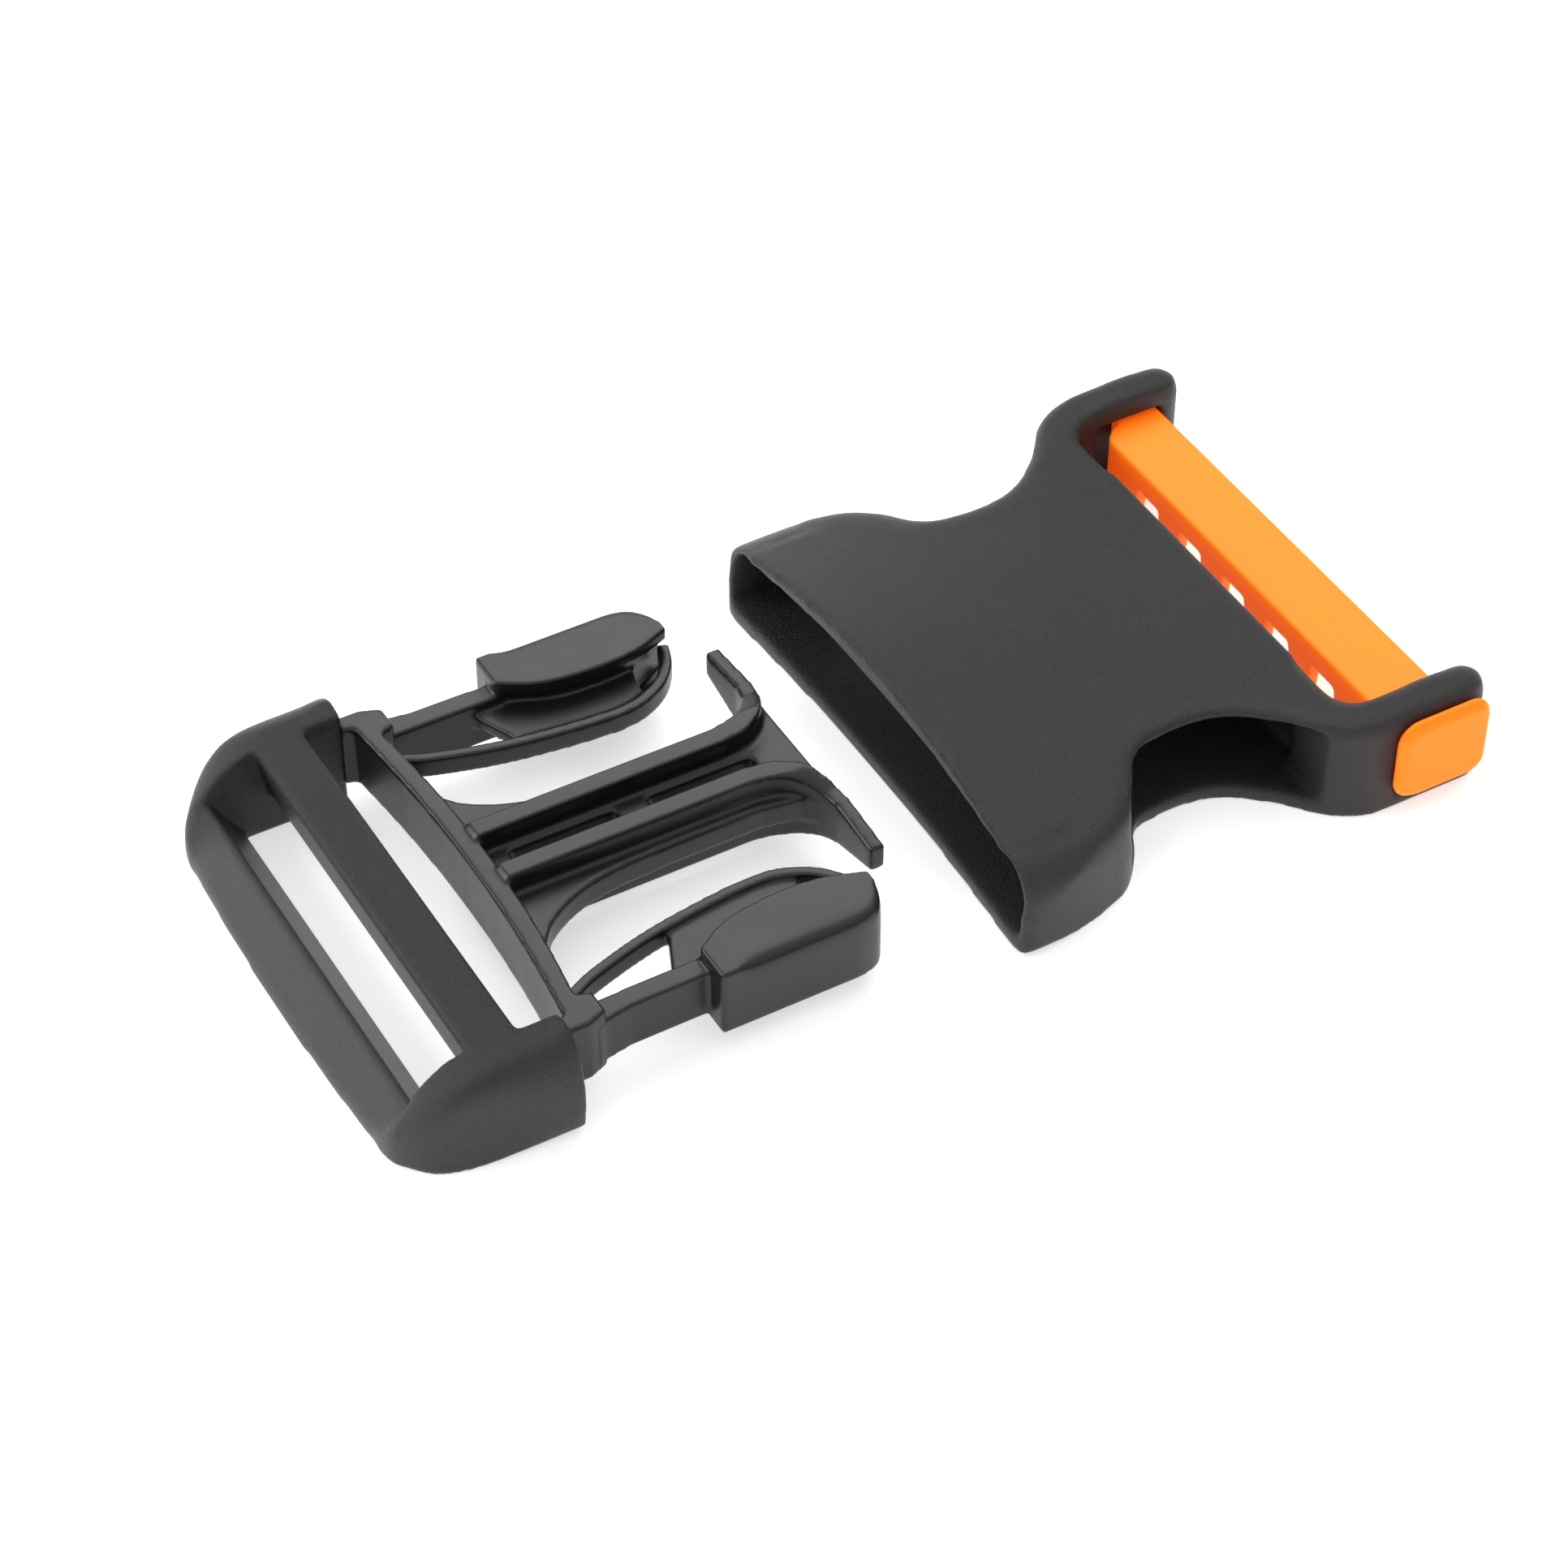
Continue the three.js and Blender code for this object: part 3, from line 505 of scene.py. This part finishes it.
TONGUE_VOXEL = 0.25
back = [(-38.5 - 1.7 * (y / 25) ** 2, y) for y in np.linspace(0, 23.4, 8)]
front = [(-36.1 - 1.5 * (y / 21) ** 2, y) for y in np.linspace(21.4, 0, 8)]
foot = [(-41.2, 23.7), (-41.2, 25.8), (-38.2, 25.8), (-36.0, 24.9), (-36.0, 21.9)]
wall_outline = both_sides(back + foot + front)
cross_wall = prism(wall_outline, 2.6, 10.4)
web_half = [(-36.6, 0), (-37.0, 13.2)]
web_half += spline([(-36.0, 12.2), (-34.0, 9.8), (-30.0, 7.6), (-25.0, 6.5), (-18.0, 6.2), (-8.0, 6.2)], 24)
web_half += [(-3.6, 7.0), (-1.9, 9.0), (-0.4, 7.4), (-0.4, 0)]
web = prism(both_sides(web_half), 5.4, 8.4)
subtract(web, box(-33.4, -21.3, -1.25, 1.25, 0, 14), box(-17.5, -5.4, -1.25, 1.25, 0, 14))
rail_outline = [(-36.4, 2.2)]
rail_outline += spline([(-8.0, 2.2), (-5.0, 2.7), (-2.3, 4.6), (-0.7, 7.4), (-0.2, 10.0)], 18)
rail_outline += [(-0.2, 17.3), (-1.9, 17.3)]
rail_outline += spline([(-1.9, 10.6), (-2.5, 8.2), (-4.1, 6.1), (-6.2, 5.0), (-9.0, 4.6)], 16)
rail_outline += [(-36.4, 4.6)]
end_view = [(5.2, 2.4), (8.4, 3.4), (17.4, 5.8), (17.4, 8.8), (8.4, 9.7), (5.2, 11.0), (0, 11.0), (0, 2.4)]


def tongue_rail(side):
    outline = rail_outline if side > 0 else mirrored(rail_outline)
    view = [(side * a, b) for a, b in end_view]
    return intersect(prism(outline, 2.4, 11.0), prism(view, -40, 2, "x"))


tongue = fuse("guide_tongue_moulding", [cross_wall, web, tongue_rail(1), tongue_rail(-1)], TONGUE_VOXEL)
soften(tongue, 6)

# Polished black acetal: near black, with a soft sheen and long faint waves from the mould flow.
smooth_acetal, tree = new_material("black acetal, polished")
coords = add_node(tree, "ShaderNodeTexCoord")
flow = add_node(tree, "ShaderNodeTexNoise", [(coords, "Object", "Vector")], Scale=220.0, Detail=2.0)
fine = add_node(tree, "ShaderNodeTexNoise", [(coords, "Object", "Vector")], Scale=5200.0, Detail=2.0)
height = add_node(tree, "ShaderNodeMath", [(flow, "Fac", 0), (fine, "Fac", 1)], operation="ADD")
bump = add_node(tree, "ShaderNodeBump", [(height, "Value", "Height")], Strength=0.10, Distance=0.00005)
tone = add_node(tree, "ShaderNodeValToRGB", [(flow, "Fac", "Fac")])
tone.color_ramp.elements[0].color = linear("#101010")
tone.color_ramp.elements[1].color = linear("#161615")
gloss = add_node(tree, "ShaderNodeMapRange", [(flow, "Fac", "Value")])
gloss.inputs["To Min"].default_value = 0.30
gloss.inputs["To Max"].default_value = 0.42
surface = add_node(tree, "ShaderNodeBsdfPrincipled",
                   [(tone, "Color", "Base Color"), (gloss, "Result", "Roughness"),
                    (bump, "Normal", "Normal")],
                   IOR=1.48)
add_node(tree, "ShaderNodeOutputMaterial", [(surface, "BSDF", "Surface")])
tongue.data.materials.clear()
tongue.data.materials.append(smooth_acetal)
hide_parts("cross_wall", "guide_tongue")
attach(tongue, "male_frame")

# ---- Latch arms -----------------------------------------------------------------------------
# Each arm is a thin leg with a deep head, tied back to the cross wall by a slim return strip.
# On the buckle they are one with the frame and bend along the leg when the heads are squeezed; here each arm
# is its own rigid mesh, not attached to the frame.

LATCH_VOXEL = 0.22
HEAD_SHOULDER_X = -24.3
head_outer = [(HEAD_SHOULDER_X, 26.9)] + spline([(-8.6, 26.9), (-6.2, 26.2), (-4.9, 24.4), (-4.5, 22.4)], 14)
head_plate = head_outer + [(-4.5, 21.0)]
head_plate += spline([(-5.6, 20.6), (-8.8, 19.5), (-13, 19.1), (-18.2, 19.5), (-21.2, 20.4),
                      (-23.4, 21.7)], 24)
head_plate += [(HEAD_SHOULDER_X, 22.2)]
head_core = head_outer + [(-4.8, 22.4)]
head_core += spline([(-8.8, 20.1), (-13, 19.7), (-18.2, 20.1), (-22.0, 21.6)], 16)
head_core += [(HEAD_SHOULDER_X, 22.4)]
leg = [(-37.0, 21.9), (-23.5, 21.8), (-23.5, 24.3), (-33.0, 24.4), (-36.0, 24.9), (-37.4, 25.6)]
arm_web = [(-27.5, 22.6), (-24.6, 16.2)]
arm_web += spline([(-20.0, 15.4), (-14.0, 14.9), (-10.0, 15.5)], 8) + [(-9.0, 20.6)]
strip_line = [(-38.0, 19.9), (-36.9, 19.4), (-33.4, 17.8), (-25.0, 15.6), (-13.9, 14.4),
              (-8.9, 15.7), (-6.0, 18.4), (-4.75, 21.4)]


def ribbon(points, width, count):
    line = np.array(spline(points, count))
    step = np.gradient(line, axis=0)
    normal = np.stack([step[:, 1], -step[:, 0]], 1) / np.linalg.norm(step, axis=1)[:, None]
    sides = [line + normal * width / 2, (line - normal * width / 2)[::-1]]
    return [tuple(p) for p in np.concatenate(sides)]


def latch_arm(side):
    turn = (lambda outline: outline) if side > 0 else mirrored
    solids = [
        prism(turn(leg), 3.2, 8.9),
        prism(turn(head_core), 2.4, 10.6),
        prism(turn(head_plate), 8.9, 10.6),
        prism(turn(head_plate), 2.4, 4.1),
        prism(turn(arm_web), 6.0, 7.6),
        prism(turn(ribbon(strip_line, 1.3, 60)), 5.7, 8.2),
    ]
    word = "left" if side > 0 else "right"
    arm = fuse(f"latch_arm_moulding_{word}", solids, LATCH_VOXEL)
    # The top outer edge of the head is fuller than the rest.
    soften(arm, 6)
    soften(arm, 90, lambda x, y, z: ramp(x, -22.5, -20.5) * ramp(np.abs(y), 22.5, 25.5) * ramp(z, 7.0, 9.0))
    arm.data.materials.clear()
    arm.data.materials.append(smooth_acetal)
    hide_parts(f"latch_leg_{word}", f"latch_head_{word}", f"return_strip_{word}")
    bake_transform(arm)


latch_arm(1)
latch_arm(-1)

# ---- Table, light and camera ----------------------------------------------------------------
# The buckle lies flat on a white table, lit from above and behind by one large soft box and from
# the left by a small one, under a dome that darkens toward the horizon.

mesh = bpy.data.meshes.new("table")
TABLE_REACH = 3.0
r = TABLE_REACH
mesh.from_pydata([(-r, -r, 0), (r, -r, 0), (r, r, 0), (-r, r, 0)], [], [(0, 1, 2, 3)])
table = bpy.data.objects.new("table", mesh)
bpy.context.scene.collection.objects.link(table)
table_paint, tree = new_material("white table")
surface = add_node(tree, "ShaderNodeBsdfPrincipled", Base_Color=(0.93, 0.93, 0.93, 1), Roughness=0.55)
add_node(tree, "ShaderNodeOutputMaterial", [(surface, "BSDF", "Surface")])
mesh.materials.append(table_paint)
surface.inputs["Emission Color"].default_value = (1, 1, 1, 1)
surface.inputs["Emission Strength"].default_value = 0.55

world = bpy.data.worlds.new("studio")
bpy.context.scene.world = world
world.use_nodes = True
tree = world.node_tree
sky = add_node(tree, "ShaderNodeTexCoord")
height = add_node(tree, "ShaderNodeSeparateXYZ", [(sky, "Generated", "Vector")])
dome = add_node(tree, "ShaderNodeValToRGB", [(height, "Z", "Fac")])
dome.color_ramp.elements[0].color = (0.10, 0.10, 0.10, 1)
dome.color_ramp.elements[1].color = (0.90, 0.90, 0.90, 1)
dome.color_ramp.elements[1].position = 0.75
tree.links.new(dome.outputs["Color"], tree.nodes["Background"].inputs["Color"])
bpy.context.scene.view_settings.view_transform = "Standard"


def soft_box(name, place, aim, width, depth, power):
    lamp = bpy.data.lights.new(name, "AREA")
    lamp.shape = "RECTANGLE"
    lamp.size = width
    lamp.size_y = depth
    lamp.energy = power
    obj = bpy.data.objects.new(name, lamp)
    obj.location = place
    obj.rotation_euler = (Vector(aim) - Vector(place)).to_track_quat("-Z", "Y").to_euler()
    bpy.context.scene.collection.objects.link(obj)


soft_box("back", (0.33, 0.57, 0.62), (0, 0, 0), 0.9, 0.7, 4.3)
soft_box("left", (-0.65, 0.35, 0.35), (0, 0, 0), 0.4, 0.5, 3.5)

AZIMUTH, ELEVATION = math.radians(-29.73), math.radians(43.47)
DISTANCE = 0.45
AIM_Y = 3.61
camera_data = bpy.data.cameras.new("camera")
camera_data.sensor_width = 36.0
camera_data.lens = 97.9
camera = bpy.data.objects.new("camera", camera_data)
target = Vector((DATUM_X * MM, (AIM_Y + MID_Y) * MM, 0))
back_axis = Vector((math.sin(AZIMUTH) * math.cos(ELEVATION), -math.cos(AZIMUTH) * math.cos(ELEVATION),
                    math.sin(ELEVATION)))
camera.location = target + back_axis * DISTANCE
camera.rotation_euler = back_axis.to_track_quat("Z", "Y").to_euler()
camera_data.clip_start = 0.01
bpy.context.scene.collection.objects.link(camera)
bpy.context.scene.camera = camera
